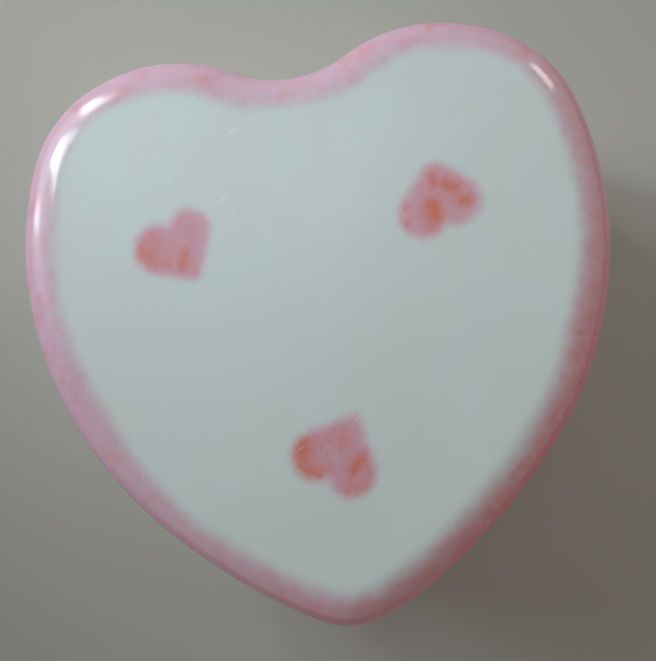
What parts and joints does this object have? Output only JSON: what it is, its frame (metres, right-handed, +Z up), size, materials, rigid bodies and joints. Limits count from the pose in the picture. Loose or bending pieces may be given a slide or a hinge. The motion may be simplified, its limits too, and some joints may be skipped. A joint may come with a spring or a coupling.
{
  "type": "trinket box",
  "caption": "Heart-shaped glazed ceramic trinket box: a shallow heart dish under a lift-off lid with a rounded edge.",
  "frame": {"origin": "under the middle of the box's bounding box, in the plane of the foot ring that it stands on", "axes": "+Z up through the lid, +Y towards the cleft between the lobes, -Y towards the heart's tip, X across the lobes"},
  "size_m": [0.078, 0.0774, 0.04],
  "materials": {
    "base_ceramic": "clear gloss glaze over white clay, with bare clay on the rim and the foot ring",
    "lid_ceramic": "clear gloss glaze over white clay, with a sponged pink edge and three small sponged pink hearts"
  },
  "bodies": {
    "base": {"base": "base_ceramic"},
    "lid": {"lid": "lid_ceramic"}
  },
  "joints": [
    {"name": "lid_lift", "type": "slide", "parent": "base", "child": "lid", "axis": [0, 0, 1], "range_m": [0, 0.06]}
  ]
}
